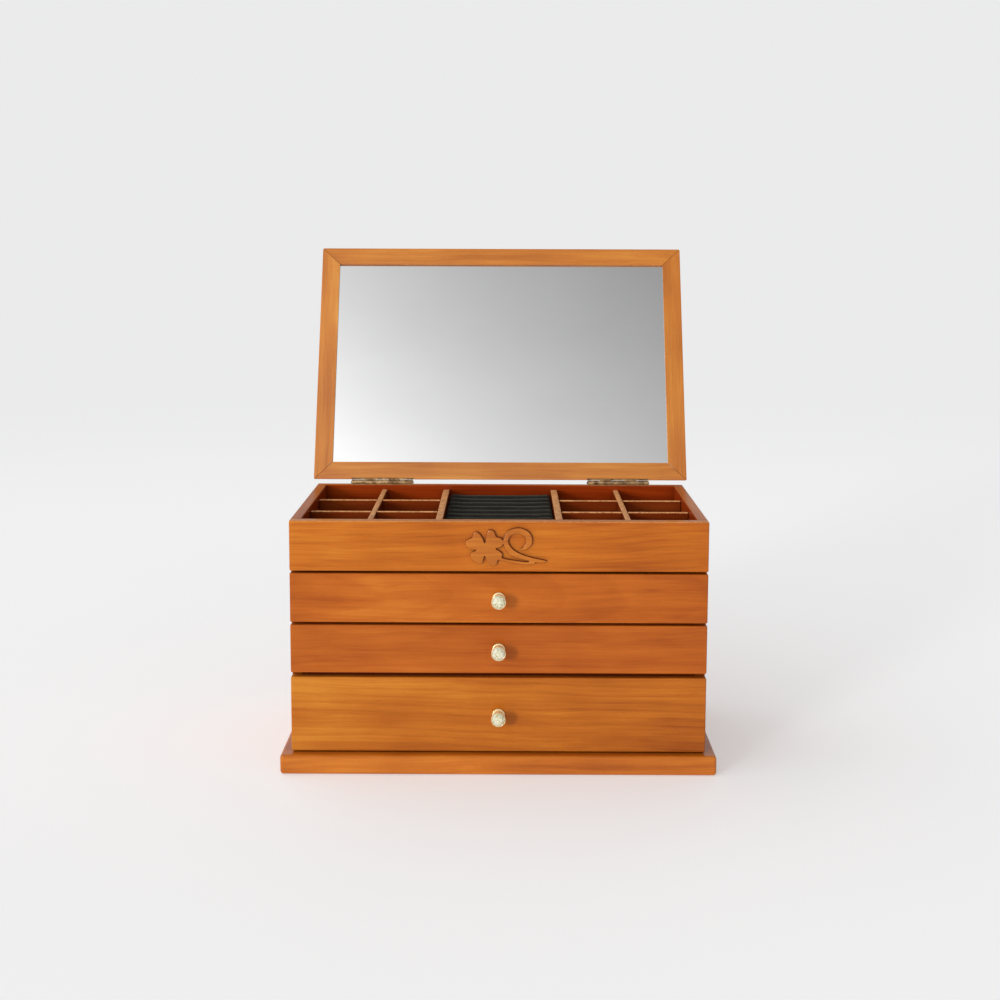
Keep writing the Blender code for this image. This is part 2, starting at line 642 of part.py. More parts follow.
def build_hinges(lid, back, rear_rail):
    """Two five-knuckle hinges: a leaf let into the rim, a leaf let into the lid's edge, and a pin."""
    box_edge = REAR_Y - BOX_LEAF_REACH
    leaf_z = BODY_TOP - LEAF_THICK
    plate_y = HINGE_Y - KNUCKLE_R - KNUCKLE_CLEAR
    box_plate = ((box_edge, leaf_z), (plate_y, BODY_TOP))
    box_tab = ((plate_y - TAB_THICK / 2, leaf_z), (HINGE_Y, BODY_TOP))

    # The lid's rear edge, turned about the axis until it is level and faces down
    slope = math.atan(LID_BEVEL / LID_THICK)
    edge = empty("lid_edge", (0, HINGE_Y, HINGE_Z), lid)
    edge.rotation_euler.x = math.pi / 2 + slope
    corner = Matrix.Rotation(-edge.rotation_euler.x, 2) @ Vector((-LID_REAR_TO_AXIS, LID_Z - HINGE_Z))
    start, face_z = HINGE_Y + corner.x, HINGE_Z + corner.y
    plate_start = start + LID_LEAF_START
    lid_plate = ((plate_start, face_z), (start + LID_LEAF_REACH, face_z + LEAF_THICK))
    lid_tab = ((plate_start, HINGE_Z), (plate_start + TAB_THICK, face_z + LEAF_THICK / 2))

    half = HINGE_LENGTH / 2 + GAP
    for name, x in (("left_hinge", -HINGE_X), ("right_hinge", HINGE_X)):
        recess = block(name + "_box_recess", (x - half, box_edge - GAP, leaf_z - GAP),
                       (x + half, REAR_Y + MM, BODY_TOP + MM))
        boolean(back, recess)
        leaf = build_leaf(name + "_box_leaf", x, box_plate, box_tab, (0, 2, 4), None)
        build_screws(name + "_box", x, box_edge + BOX_LEAF_REACH / 2, BODY_TOP, 1, leaf, back, None)

        recess = block(name + "_lid_recess", (x - half, start - 2 * MM, face_z - MM),
                       (x + half, start + 2 * LID_LEAF_REACH, face_z + LEAF_THICK + GAP), parent=edge)
        boolean(rear_rail, recess)
        leaf = build_leaf(name + "_lid_leaf", x, lid_plate, lid_tab, (1, 3), edge)
        build_screws(name + "_lid", x, start + 0.62 * LID_LEAF_REACH, face_z, -1, leaf, rear_rail, edge)

        rod(name + "_pin", (x, HINGE_Y, HINGE_Z), HINGE_LENGTH + 2 * PIN_PROUD, PIN_R, "X", BRASS, sides=16)


back_panel = build_carcass()
build_tray()
build_carving()
build_drawers()
lid_hinge = empty("lid_hinge", (0, HINGE_Y, HINGE_Z))
lid_rear_rail = build_lid(lid_hinge)
build_hinges(lid_hinge, back_panel, lid_rear_rail)
lid_hinge.rotation_euler.x = -LID_OPEN
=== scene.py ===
"""The look of the jewelry box: stained wood, velvet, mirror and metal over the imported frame.

Metres, +Z up, front towards -Y, at rest with the drawers shut and the lid open.
"""

import math

import bmesh
import bpy
from mathutils import Matrix, Vector, noise


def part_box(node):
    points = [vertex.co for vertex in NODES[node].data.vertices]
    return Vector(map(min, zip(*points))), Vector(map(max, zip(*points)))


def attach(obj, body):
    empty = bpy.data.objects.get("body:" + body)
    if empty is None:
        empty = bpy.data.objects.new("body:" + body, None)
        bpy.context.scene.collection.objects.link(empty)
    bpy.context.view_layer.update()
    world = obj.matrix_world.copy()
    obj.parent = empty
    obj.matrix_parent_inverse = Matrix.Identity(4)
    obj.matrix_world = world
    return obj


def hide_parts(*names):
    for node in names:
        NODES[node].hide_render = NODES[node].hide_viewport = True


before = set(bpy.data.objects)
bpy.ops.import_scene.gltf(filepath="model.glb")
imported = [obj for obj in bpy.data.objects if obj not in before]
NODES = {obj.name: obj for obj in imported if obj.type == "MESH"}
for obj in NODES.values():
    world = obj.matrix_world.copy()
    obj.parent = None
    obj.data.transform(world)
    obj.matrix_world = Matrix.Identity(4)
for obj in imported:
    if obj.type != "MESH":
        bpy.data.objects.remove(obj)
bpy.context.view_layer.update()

MM = 0.001

# Camera: place, downward pitch, turn to the right, roll, focal length on a 36 mm sensor
CAMERA_PLACE = (0.0048, -1.3168, 0.3669)
CAMERA_PITCH = math.radians(8.11)
CAMERA_YAW = math.radians(-0.197)
CAMERA_ROLL = math.radians(-0.193)
CAMERA_LENS = 64.48

# The closed lid's underside faces down. At rest the lid stands open by this angle
LID_OPEN = math.radians(117)

# The studio as seen directly
BACKDROP = (0.83, 0.83, 0.835)
FLOOR_COLOR = (0.74, 0.74, 0.745, 1)
FLOOR_GLOW = 0.33
FLOOR_RADIUS = 24.0
FLOOR_FADE = (0.8, 3.0)  # metres from the object over which the floor turns into the backdrop
FLOOR_BELOW = 0.2 * MM  # clear of the plinth's underside

# What it sends to the object
SKY_AT_MIRROR = 0.87  # brightness that the middle of the mirror reflects
SKY_FALL_RIGHT = 3.9  # natural log of brightness lost per unit of direction to the right
SKY_FALL_UP = 6.6
SKY_LEAST = 0.30
SKY_MOST = 1.2
SKY_LOW = 0.42  # how much of it is left near the horizon
SKY_LOW_ENDS = (0.1, 0.62)  # heights of the direction between which it grows to the whole
KEY_FROM = (-0.52, -0.86, 0.14)  # towards the key light
KEY_POWER = 1.5
KEY_WIDTH = math.radians(12)

# Linear colours of the stained wood, from the darkest streak to the lightest
STAIN = ((0.300, 0.060, 0.005), (0.425, 0.100, 0.008), (0.505, 0.132, 0.011), (0.610, 0.200, 0.020))
INNER_STAIN_AND_SHADE = (0.66, 0.30, 0.30)  # what a darker stain and painted shade inside the box keep of these
PAINTED_SHADE_COLOR = (0.095, 0.012, 0.001, 1)  # painted shade, laid in corners and on the carving's walls facing up and to the right
BARE_WOOD_AND_HIGHLIGHT = (0.82, 0.40, 0.16, 1)  # where the stain is rubbed off the top edges, partly a painted highlight

DRAWERS = ("top_drawer", "middle_drawer", "bottom_drawer")
SHARP = math.radians(50)  # edges sharper than this aren't smoothed

# The ring cushion. Its cloth is simulated larger than life
ROLLS = 9
ROLL_SCALE = 10
ROLL_VOXEL = 0.011  # at that scale
ROLL_SWELL = 0.5 * MM  # a roll starts this much smaller, and no point moves further
CLOTH_FRAMES = 20

# The linings
LINING_THICK = 0.8 * MM
LINING_GAP = 0.4 * MM  # to the drawer's walls
LINING_LIFT = 0.1 * MM  # off the drawer's floor
LINING_CELL = 3 * MM
LINING_WAVE = 0.12 * MM

# The knobs and their stones, in mm: radius, and distance out from the drawer's face
KNOB_STEPS = 64
STUD_END = -7.0
TABLE, CROWN = (2.4, 16.2), (3.5, 15.55)
GIRDLE, BELT = (4.4, 14.5), (4.4, 14.1)
KEEL, CULET = (2.1, 13.1), (0.0, 12.55)
FOILED_BELOW = 13.6  # the stone's faces nearer to the drawer than this are silvered

# The carving's outlines and middle lines in mm, as x and z, and for a ribbon its width
CLOVER_CENTRE = (-9.8, 159.5)
CLOVER = (
    (0.3, 3.9), (-1.5, 7.8), (-3.7, 10.9), (-5.9, 12.0), (-7.6, 10.4), (-8.3, 8.0), (-10.4, 7.0),
    (-12.6, 5.2), (-13.0, 2.6), (-11.1, 0.2), (-8.0, -0.6), (-5.4, -0.9), (-8.7, -2.6),
    (-9.8, -4.8), (-8.9, -7.4), (-6.7, -9.1), (-4.1, -10.7), (-1.7, -10.2), (-0.8, -7.4),
    (0.0, -4.8), (1.1, -7.4), (2.8, -10.4), (5.9, -11.7), (8.3, -10.9), (9.4, -7.6), (11.7, -6.1),
    (12.2, -3.5), (10.2, -1.3), (7.6, 0.0), (10.2, 0.9), (12.2, 2.4), (13.0, 4.8), (12.2, 6.7),
    (10.2, 8.0), (8.0, 8.7), (6.7, 12.0), (4.6, 13.3), (2.4, 12.6), (1.1, 8.7),
)
SCROLL_CENTRE = (14.3, 165.1)
SCROLL = (
    (0.4, -6.2, 0.9), (4.1, -4.7, 2.8), (6.6, -0.8, 4.4), (5.2, 4.4, 4.5), (-0.6, 7.0, 4.3),
    (-6.6, 5.4, 3.8), (-9.4, 0.8, 3.3), (-8.4, -4.2, 4.0), (-4.6, -8.4, 4.4), (0.9, -10.9, 3.5),
    (8.5, -13.0, 3.0), (14.9, -14.1, 2.4), (18.9, -14.2, 0.9),
)
STEM = (
    (-17.5, -11.0, 2.4), (-10.6, -13.4, 2.2), (-3.4, -14.6, 2.1), (4.3, -15.6, 2.1),
    (10.6, -15.2, 1.8),
)
CARVING_THICK = 1.8 * MM
CARVING_SUNK = 1.2 * MM  # of the raw shape behind the panel's face, cut off after softening
CARVING_VOXEL = 0.2 * MM
CARVING_SOFTENED = 45  # rounds of smoothing


# ---------------------------------------------------------------- materials

def add(tree, kind, inputs=None, **settings):
    """A node of this kind. An input is a value or another node's output."""
    node = tree.nodes.new(kind)
    for name, value in settings.items():
        setattr(node, name, value)
    for name, value in (inputs or {}).items():
        if isinstance(value, bpy.types.NodeSocket):
            tree.links.new(value, node.inputs[name])
        else:
            node.inputs[name].default_value = value
    return node


def calc(tree, operation, *values):
    return add(tree, "ShaderNodeMath", dict(enumerate(values)), operation=operation).outputs[0]


def calc_vector(tree, operation, first, second, output="Vector"):
    return add(tree, "ShaderNodeVectorMath", {0: first, 1: second}, operation=operation).outputs[output]


def squared(tree, value):
    return calc(tree, "MULTIPLY", value, value)


def mix_color(tree, factor, first, second, blend="MIX"):
    inputs = {0: factor, 6: first, 7: second}
    node = add(tree, "ShaderNodeMix", inputs, data_type="RGBA", blend_type=blend)
    return node.outputs[2]


def ramp(tree, factor, *stops):
    """A colour ramp of (position, colour or grey) stops."""
    node = add(tree, "ShaderNodeValToRGB", {"Fac": factor})
    elements = node.color_ramp.elements
    while len(elements) < len(stops):
        elements.new(0.5)
    for element, (position, value) in zip(elements, stops):
        color = value if hasattr(value, "__len__") else (value, value, value)
        element.position = position
        element.color = (*color, 1)
    return node.outputs["Color"]


def noise_at(tree, vector, scale, detail=2.0, roughness=0.5, output="Fac"):
    inputs = {"Vector": vector, "Scale": scale, "Detail": detail, "Roughness": roughness}
    return add(tree, "ShaderNodeTexNoise", inputs).outputs[output]


def stretched(tree, vector, scale):
    inputs = {"Vector": vector, "Scale": scale}
    return add(tree, "ShaderNodeMapping", inputs).outputs["Vector"]


def new_material(name, **values):
    """A Principled material. The keywords are its sockets, with _ for a space."""
    material = bpy.data.materials.new(name)
    material.use_nodes = True
    shader = material.node_tree.nodes["Principled BSDF"]
    for socket, value in values.items():
        shader.inputs[socket.replace("_", " ")].default_value = value
    return material, material.node_tree, shader


def object_place(tree):
    return add(tree, "ShaderNodeTexCoord").outputs["Object"]


def bump(tree, shader, height, strength, distance):
    inputs = {"Height": height, "Strength": strength, "Distance": distance}
    output = add(tree, "ShaderNodeBump", inputs).outputs["Normal"]
    tree.links.new(output, shader.inputs["Normal"])


GRAIN_TURN = {"X": Matrix.Identity(3), "Y": Matrix.Rotation(-math.pi / 2, 3, "Z")}


def wood(name, grain, seed, tilt=0.0, shade=(1.0, 1.0, 1.0), heart=(0.0, 0.05), lean=0.04, rings=7.0,
         figure=1.0, drift=0.0, gloss=0.5, corner_shade=0.0, reach=4.0, carved=False, inside=False,
         lighter_above=None, lighter_by=1.0):
    """Stained and lacquered wood, cut from one log.

    grain is the board's long axis, seed shifts the board along the log, and tilt turns it about X.
    shade multiplies the stain's colours. heart is where the log's middle passes, across the board
    and behind its face, from the object's origin. lean is how far it runs out of line with it.
    rings is their spacing in mm, and figure how strongly they show. drift is how much lighter the
    wood gets per metre along the board. corner_shade is how dark the painted shade in corners is,
    over a reach in mm. A carved shape also gets painted shade on its walls facing up and right.
    inside gives the faces that look into the box a darker colour, partly stain, partly painted shade.
    Above lighter_above it is lightened towards bare wood as far as lighter_by says: partly rubbed-off
    stain, partly a painted highlight on the top edges.
    """
    material, tree, shader = new_material(
        name, Roughness=0.4, Specular_IOR_Level=0.02, Coat_Weight=gloss, Coat_Roughness=0.18)
    place = object_place(tree)
    shift = 0.37 * seed
    log, bent = log_places(tree, place, grain, tilt, shift)
    along, across, depth = add(tree, "ShaderNodeSeparateXYZ", {"Vector": bent}).outputs
    along = calc(tree, "SUBTRACT", along, shift)

    # The grain's figure, from year rings to fine streaks, and clouds of stain
    ring = year_rings(tree, along, across, depth, heart, lean, rings)
    broad = noise_at(tree, stretched(tree, bent, (5, 75, 75)), 1.0, 2.0, 0.5)
    streak = noise_at(tree, stretched(tree, bent, (8, 260, 260)), 1.0, 3.0, 0.6)
    fine = noise_at(tree, stretched(tree, bent, (16, 900, 900)), 1.0, 2.0, 0.6)
    cloud = noise_at(tree, stretched(tree, log, (13, 26, 26)), 1.0, 2.0, 0.5)
    weights = ((ring, 0.12 * figure), (broad, 0.26), (streak, 0.24), (fine, 0.16), (cloud, 0.34))
    tone = 0.0
    for part, weight in weights:
        tone = calc(tree, "MULTIPLY_ADD", part, weight, tone)
    tone = calc(tree, "MULTIPLY_ADD", along, drift, tone)
    level = sum(weight for part, weight in weights) / 2
    colors = [tuple(a * b for a, b in zip(color, shade)) for color in STAIN]
    spread = (-0.16, -0.05, 0.04, 0.16)
    color = ramp(tree, tone, *((level + offset, c) for offset, c in zip(spread, colors)))

    # Pores: short dark dashes along the grain
    pores = noise_at(tree, stretched(tree, bent, (260, 3200, 3200)), 1.0, 1.0, 0.5)
    pores = ramp(tree, pores, (0.26, 0.0), (0.38, 1.0))
    color = mix_color(tree, 0.16, color, pores, "MULTIPLY")

    parts = add(tree, "ShaderNodeSeparateXYZ", {"Vector": place}).outputs
    # Inside the box the colour is darker: partly a darker stain, partly painted shade.
    if inside:
        color = mix_color(tree, within_walls(tree, parts), color, inner_stain_and_shade(tree, color))
    if corner_shade:
        color = painted_corner_shade(tree, color, corner_shade, reach)
    if carved:
        color = painted_wall_shade(tree, color)
    if lighter_above is not None:
        color = rubbed_and_highlighted_above(tree, color, place, parts["Z"], lighter_above, lighter_by)
    tree.links.new(color, shader.inputs["Base Color"])

    rough = calc(tree, "MULTIPLY_ADD", cloud, 0.14, 0.32)
    tree.links.new(rough, shader.inputs["Roughness"])
    height = calc(tree, "MULTIPLY_ADD", pores, 0.5, fine)
    bump(tree, shader, height, 0.2, 0.00005)
    return material


def log_places(tree, place, grain, tilt, shift):
    """Places in the log, whose grain runs along X, and the same with the grain wandering slowly."""
    turn = (GRAIN_TURN[grain] @ Matrix.Rotation(tilt, 3, "X")).to_euler()
    inputs = {"Vector": place, "Rotation": tuple(turn), "Location": (shift, 0.0, 0.0)}
    log = add(tree, "ShaderNodeMapping", inputs).outputs["Vector"]
    wander = noise_at(tree, stretched(tree, log, (6, 14, 14)), 1.0, 2.0, 0.5, "Color")
    wander = calc_vector(tree, "SUBTRACT", wander, (0.5, 0.5, 0.5))
    wander = calc_vector(tree, "MULTIPLY", wander, (0, 0.015, 0.015))
    return log, calc_vector(tree, "ADD", log, wander)


def year_rings(tree, along, across, depth, heart, lean, spacing):
    """The light early wood and the dark late wood of each ring about the log's middle."""
    across = calc(tree, "SUBTRACT", across, heart[0])
    depth = calc(tree, "SUBTRACT", depth, heart[1])
    across = calc(tree, "ADD", across, calc(tree, "MULTIPLY", along, lean))
    radius = calc(tree, "SQRT", calc(tree, "ADD", squared(tree, across), squared(tree, depth)))
    ring = calc(tree, "FRACT", calc(tree, "DIVIDE", radius, spacing * MM))
    return ramp(tree, ring, (0.0, 0.58), (0.62, 0.54), (0.84, 0.22), (0.92, 0.20), (1.0, 0.58))


# Painted shade: darkens the colour in corners and crevices, where less light reaches.
def painted_corner_shade(tree, color, corner_shade, reach):
    inputs = {"Distance": reach * MM}
    corner = add(tree, "ShaderNodeAmbientOcclusion", inputs, samples=8).outputs["AO"]
    corner = ramp(tree, corner, (0.35, corner_shade), (0.70, 0.25 * corner_shade), (0.95, 0.0))
    return mix_color(tree, corner, color, PAINTED_SHADE_COLOR)


def painted_wall_shade(tree, color):
    """Painted shade on the walls that face up and to the right, which the light from the left and below
    leaves dark.
    """
    facing = add(tree, "ShaderNodeTexCoord").outputs["Normal"]
    wall = calc_vector(tree, "DOT_PRODUCT", facing, (0.64, 0.0, 0.77), "Value")
    return mix_color(tree, ramp(tree, wall, (0.06, 0.0), (0.35, 0.95)), color, PAINTED_SHADE_COLOR)


# Lightens the top edges: partly stain rubbed off, partly a painted highlight.
def rubbed_and_highlighted_above(tree, color, place, height, lighter_above, lighter_by):
    above_line = calc(tree, "GREATER_THAN", height, lighter_above)
    patches = noise_at(tree, place, 380.0, 3.0, 0.6)
    patches = ramp(tree, patches, (0.38, 0.5 * lighter_by), (0.56, lighter_by))
    return mix_color(tree, calc(tree, "MULTIPLY", above_line, patches), color, BARE_WOOD_AND_HIGHLIGHT)


def inner_stain_and_shade(tree, color):
    return mix_color(tree, 1.0, color, (*INNER_STAIN_AND_SHADE, 1), "MULTIPLY")


def within_walls(tree, parts):
    """1 on the faces that look into the box, and 0 on its outside."""
    low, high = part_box("tray_lining")
    margin = 0.6 * MM
    x = calc(tree, "LESS_THAN", calc(tree, "ABSOLUTE", parts["X"]), high.x + margin)
    front = calc(tree, "GREATER_THAN", parts["Y"], low.y - margin)
    rear = calc(tree, "LESS_THAN", parts["Y"], high.y + margin)
    return calc(tree, "MULTIPLY", x, calc(tree, "MULTIPLY", front, rear))


def velvet(name):
    """Black velvet: a short pile that brightens at grazing angles, brushed unevenly."""
    material, tree, shader = new_material(
        name, Roughness=0.95, Sheen_Weight=0.18, Sheen_Roughness=0.35,
        Sheen_Tint=(0.78, 0.72, 0.55, 1), Specular_IOR_Level=0.1)
    place = object_place(tree)
    brushed = noise_at(tree, place, 60.0, 3.0, 0.6)
    pile = noise_at(tree, place, 2600.0, 2.0, 0.7)
    tone = calc(tree, "ADD", calc(tree, "MULTIPLY", brushed, 0.6), calc(tree, "MULTIPLY", pile, 0.4))
    color = ramp(tree, tone, (0.3, (0.006, 0.006, 0.005)), (0.7, (0.022, 0.020, 0.017)))
    tree.links.new(color, shader.inputs["Base Color"])
    bump(tree, shader, pile, 0.6, 0.0003)
    return material


def metal(name, bright, dark, roughness, patina_scale, patina, metallic=1.0):
    """Metal with blotches of a dark patina. A lacquered metal is given as less metallic."""
    material, tree, shader = new_material(name, Metallic=metallic, Roughness=roughness)
    place = object_place(tree)
    blotch = noise_at(tree, place, patina_scale, 4.0, 0.6)
    blotch = ramp(tree, blotch, (0.5 - patina, 0.0), (0.5 + patina, 1.0))
    color = mix_color(tree, blotch, (*dark, 1), (*bright, 1))
    tree.links.new(color, shader.inputs["Base Color"])
    scratch = noise_at(tree, stretched(tree, place, (300, 4000, 4000)), 1.0, 2.0, 0.6)
    rough = calc(tree, "ADD", roughness - 0.06, calc(tree, "MULTIPLY", scratch, 0.16))
    tree.links.new(rough, shader.inputs["Roughness"])
    bump(tree, shader, scratch, 0.15, 0.00003)
    return material


def mirror_glass(name):
    """Silvered glass with faint haze where it has been wiped."""
    material, tree, shader = new_material(name, Metallic=1.0)
    place = object_place(tree)
    haze = noise_at(tree, stretched(tree, place, (14, 40, 14)), 1.0, 4.0, 0.6)
    rough = ramp(tree, haze, (0.45, 0.012), (0.75, 0.045))
    tree.links.new(rough, shader.inputs["Roughness"])
    color = ramp(tree, haze, (0.3, (0.91, 0.91, 0.912)), (0.8, (0.87, 0.87, 0.872)))
    tree.links.new(color, shader.inputs["Base Color"])
    return material


def crystal_glass(name):
    """Cut glass with a yellow tint, milky enough to look bright, with darker flaws."""
    material, tree, shader = new_material(
        name, Roughness=0.02, IOR=1.6, Transmission_Weight=0.35, Coat_Weight=1.0)
    flaw = noise_at(tree, object_place(tree), 800.0, 2.0, 0.5)
    dark, tint, pale = (0.60, 0.56, 0.24), (0.97, 0.93, 0.64), (1.0, 0.99, 0.88)
    color = ramp(tree, flaw, (0.38, dark), (0.48, tint), (0.62, pale))
    tree.links.new(color, shader.inputs["Base Color"])
    return material


def crystal_foil(name):
    """The silvered back of the stone, tarnished in spots."""
    material, tree, shader = new_material(name, Metallic=0.3, Roughness=0.3)
    spot = noise_at(tree, object_place(tree), 900.0, 3.0, 0.6)
    dark, tint, pale = (0.62, 0.58, 0.34), (0.90, 0.88, 0.68), (0.98, 0.97, 0.88)
    color = ramp(tree, spot, (0.30, dark), (0.42, tint), (0.6, pale))
    tree.links.new(color, shader.inputs["Base Color"])
    return material


def paint(material, *names):
    """Gives CAD nodes a material and smooth shading over their eased edges."""
    for name in names:
        obj = NODES[name]
        obj.material_slots[0].material = material
        smooth(obj)


def smooth(obj):
    obj.data.shade_smooth()
    weld = obj.modifiers.new("weld", "WELD")
    weld.merge_threshold = 0.00001
    split = obj.modifiers.new("split", "EDGE_SPLIT")
    split.split_angle = SHARP
    normals = obj.modifiers.new("normals", "WEIGHTED_NORMAL")
    normals.weight = 100
    normals.keep_sharp = True


def paint_fronts():
    """Each front is a board of its own, from its own place in the log."""
    low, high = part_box("front_panel")
    face, rim = low.y, high.z - 0.7 * MM
    # Seed, the log's middle behind the face and above the ground, lean, rings, figure, drift, shade
    fronts = (
        ("front_panel", 1.0, 0.050, 0.235, -0.09, 3.8, 0.8, -0.55, (1.03, 1.07, 1.0)),
        ("top_drawer_front", 2.5, 0.040, 0.127, -0.12, 5.0, 0.6, -0.20, (0.97, 0.92, 1.0)),
        ("middle_drawer_front", 3.0, 0.070, 0.010, 0.05, 5.0, 0.4, 0.0, (0.93, 0.87, 1.0)),
        ("bottom_drawer_front", 4.0, 0.055, 0.110, 0.02, 4.5, 0.9, -0.60, (0.96, 1.05, 1.0)),
    )
    # The panel gets painted shade in its corners, a darker colour inside that is partly painted shade,
    # and a top edge lightened partly as a painted highlight.
    panel = {"corner_shade": 0.4, "inside": True, "lighter_above": rim, "lighter_by": 0.4}
    for name, seed, behind, height, lean, rings, figure, drift, shade in fronts:
        extra = panel if name == "front_panel" else {}
        material = wood(name + "_wood", "X", seed, shade=shade, heart=(face + behind, height), lean=lean,
                        rings=rings, figure=figure, drift=drift, gloss=0.3, **extra)
        paint(material, name)


def paint_body():
    paint(wood("plinth_wood", "X", 5.0, shade=(1.07, 1.17, 1.2), heart=(0.01, -0.06), lean=0.02),
          "base_plinth")
    # The walls get painted shade in the corners inside the box, and a darker colour inside that is partly
    # painted shade.
    wall = {"gloss": 0.3, "corner_shade": 0.65, "reach": 24.0, "inside": True}
    paint(wood("back_wood", "X", 6.0, heart=(0.05, 0.10), lean=0.05, **wall), "back_panel")
    paint(wood("left_side_wood", "Y", 7.0, heart=(0.10, 0.09), lean=0.05, **wall), "left_side")
    paint(wood("right_side_wood", "Y", 8.0, heart=(-0.10, 0.09), lean=-0.05, **wall), "right_side")


def paint_lid():
    # The frame's shade makes it paler and bluer: a painted sheen of the bright floor it faces.
    lid = {"tilt": LID_OPEN, "shade": (1.20, 1.58, 2.6), "figure": 0.4, "gloss": 1.0}
    paint(wood("lid_panel_wood", "X", 9.0, tilt=LID_OPEN, heart=(0.06, 0.0), lean=0.05, gloss=0.3),
          "lid_panel")
    paint(wood("lid_rail_wood", "X", 10.0, heart=(0.10, 0.20), lean=0.02, **lid),
          "lid_front_rail", "lid_rear_rail")
    paint(wood("lid_stile_wood", "Y", 11.0, heart=(0.05, 0.10), lean=0.02, **lid),
          "lid_left_stile", "lid_right_stile")
    paint(mirror_glass("silvered_mirror"), "mirror")


def paint_inside():
    """The dividers, with top edges lighter (partly rubbed bare, partly a painted highlight), and the
    shelves and drawer boxes, with painted shade.
    """
    sides = ("left", "right")
    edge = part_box("ring_divider_left")[1].z - 0.6 * MM
    # The dividers' dark shade is painted shade, since they take less light than the front. They also get
    # painted shade in corners, and lighter top edges that are partly a painted highlight.
    divider = {"shade": (0.44, 0.26, 0.40), "heart": (0.02, 0.10), "gloss": 0.2, "corner_shade": 0.6,
               "reach": 24.0, "lighter_above": edge}
    crosswise = [f"cross_divider_{side}_{row}" for side in sides for row in ("front", "rear")]
    lengthwise = [f"{kind}_divider_{side}" for kind in ("ring", "column") for side in sides]
    paint(wood("cross_divider_wood", "X", 12.0, **divider), *crosswise)
    paint(wood("divider_wood", "Y", 13.0, **divider), *lengthwise)

    # dark makes the shelves, tray floor and drawer boxes darker: partly their own wood, partly painted
    # shade in the gaps between the drawers.
    dark = (0.36, 0.19, 0.14)
    paint(wood("shelf_wood", "X", 14.0, shade=dark, heart=(0.03, 0.02)),
          "shelf_upper", "shelf_lower", "tray_floor", *(drawer + "_floor" for drawer in DRAWERS))
    paint(wood("drawer_back_wood", "X", 15.0, shade=dark, heart=(0.05, 0.02)),
          *(drawer + "_back" for drawer in DRAWERS))
    paint(wood("drawer_side_wood", "Y", 16.0, shade=dark, heart=(0.05, 0.02)),
          *(f"{drawer}_{side}_side" for drawer in DRAWERS for side in sides))


def paint_hinges():
    brass = metal("aged_brass", (0.62, 0.42, 0.22), (0.20, 0.11, 0.05), 0.42, 240.0, 0.12)
    paint(brass, *(name for name in NODES if "hinge" in name))


# ---------------------------------------------------------------- pieces

def add_piece(name, work, body, material, slot, *replaced):
    """Makes an object of a bmesh, in place, that rides on a body and stands for CAD nodes."""
    mesh = bpy.data.meshes.new(name)
    work.to_mesh(mesh)
    work.free()
    obj = bpy.data.objects.new(name, mesh)
    mesh.materials.append(material)
    bpy.context.scene.collection.objects.link(obj)
    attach(obj, body)
    if replaced:
        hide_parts(*replaced)
    return obj


def lathe(work, profile, place, steps):
    """Turns a profile of (radius, distance out) about the line that runs out of a drawer front."""
    rings = []
    for radius, out in profile:
        if radius == 0:
            rings.append([work.verts.new(place + Vector((0, -out, 0)))])
            continue
        angles = [2 * math.pi * step / steps for step in range(steps)]
        rings.append([work.verts.new(place + Vector((radius * math.cos(a), -out, radius * math.sin(a))))
                      for a in angles])
    for first, second in zip(rings, rings[1:]):
        for i in range(steps):
            j = (i + 1) % steps
            corners = [first[i % len(first)], first[j % len(first)], second[j % len(second)],
                       second[i % len(second)]]
            work.faces.new(list(dict.fromkeys(corners)))
    bmesh.ops.recalc_face_normals(work, faces=work.faces)


def arc(centre, radius, start, end):
    """Points of (radius, distance) on a circular arc in a profile. Angles in degrees."""
    steps = 6
    angles = [math.radians(start + (end - start) * i / steps) for i in range(steps + 1)]
    return [(centre[0] + radius * math.cos(a), centre[1] + radius * math.sin(a)) for a in angles]


def knob_profile():
    """From the cup's floor over its rim, down the neck and flange to the end of the stud, in mm."""
    return [
        (0, 12.25), (4.1, 12.25), (4.4, 12.9), (4.5, 14.3),
        *arc((4.72, 14.3), 0.22, 180, 0),
        (4.94, 13.4), (4.80, 13.2), (4.94, 13.0), (4.94, 12.0),
        *arc((3.6, 12.0), 1.34, 0, -60),
        (3.7, 10.0), (3.3, 8.8), (3.1, 7.2), (3.05, 5.4), (3.15, 3.9), (3.4, 3.1),
        *arc((4.0, 1.7), 0.5, 110, 0),
        (4.5, 0.6), (4.3, 0.3), (1.5, 0.3), (1.5, STUD_END), (0, STUD_END),
    ]


def build_knob(drawer, gold, glass, foil):
    """A turned gold knob with a brilliant-cut stone in its cup."""
    low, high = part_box(drawer + "_front")
    place = Vector((0, low.y, (low.z + high.z) / 2))
    work = bmesh.new()
    lathe(work, [(r * MM, out * MM) for r, out in knob_profile()], place, KNOB_STEPS)
    knob = add_piece(drawer + "_turned_knob", work, drawer, gold, "gold_plate", drawer + "_knob")
    knob.data.shade_smooth()
    knob.data.set_sharp_from_angle(angle=SHARP)

    work = bmesh.new()
    cut_stone(work, place)
    stone = add_piece(drawer + "_cut_crystal", work, drawer, glass, "crystal", drawer + "_crystal")
    stone.data.materials.append(foil)
    for face in stone.data.polygons:
        face.material_index = int(face.center.y > place.y - FOILED_BELOW * MM)


